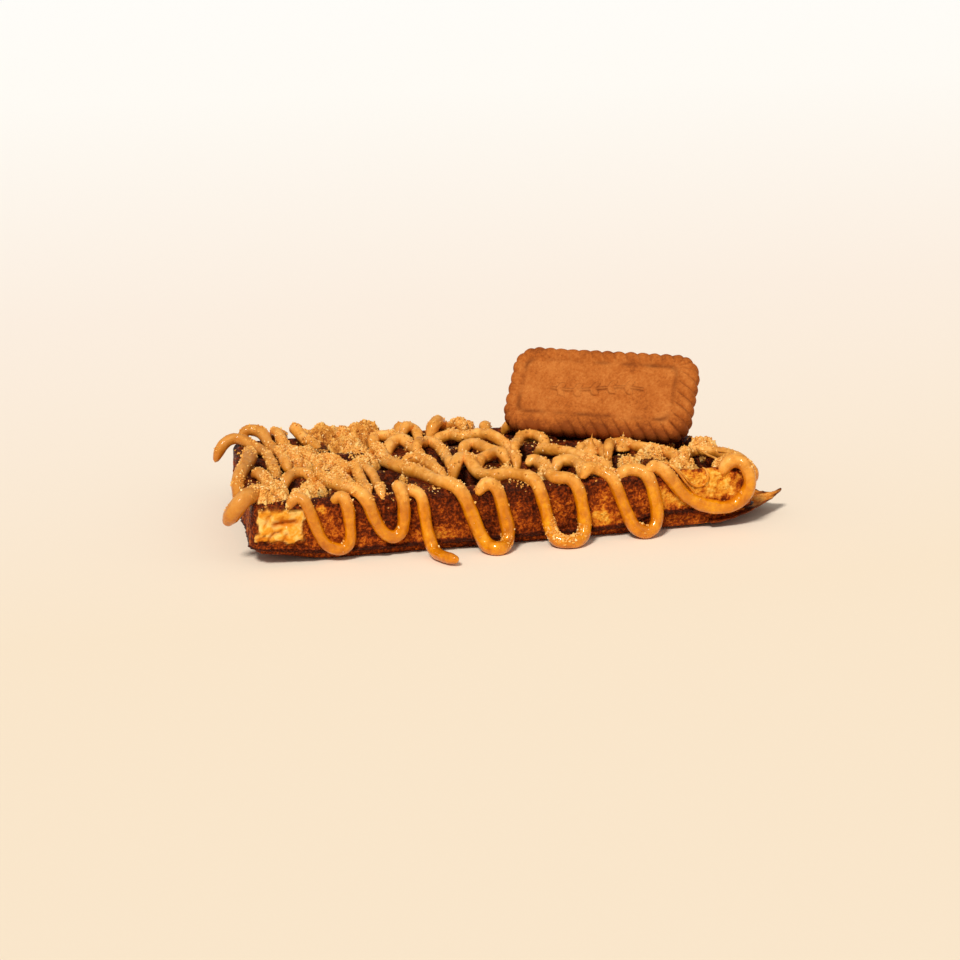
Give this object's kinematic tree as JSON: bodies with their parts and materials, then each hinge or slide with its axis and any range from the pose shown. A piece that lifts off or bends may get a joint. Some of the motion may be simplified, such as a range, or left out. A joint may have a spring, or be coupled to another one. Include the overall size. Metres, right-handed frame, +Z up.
{
  "type": "speculoos waffle",
  "caption": "Rectangular grid waffle drizzled with thick speculoos spread in hanging loops, topped with crumbs and one leaning speculoos biscuit.",
  "frame": {"origin": "centre of the waffle's flat underside, in the plane that it rests on", "axes": "+X along the waffle's length to the end with the burnt flap, +Y across it to the side that the biscuit leans to, +Z up"},
  "size_m": [0.1737, 0.0956, 0.044],
  "materials": {
    "waffle_crust": "baked golden to dark brown crust, glossy caramel spread on it",
    "biscuit_crumb": "dry fine-grained caramel biscuit"
  },
  "bodies": {
    "root": {"waffle": "waffle_crust", "biscuit": "biscuit_crumb"}
  },
  "joints": []
}
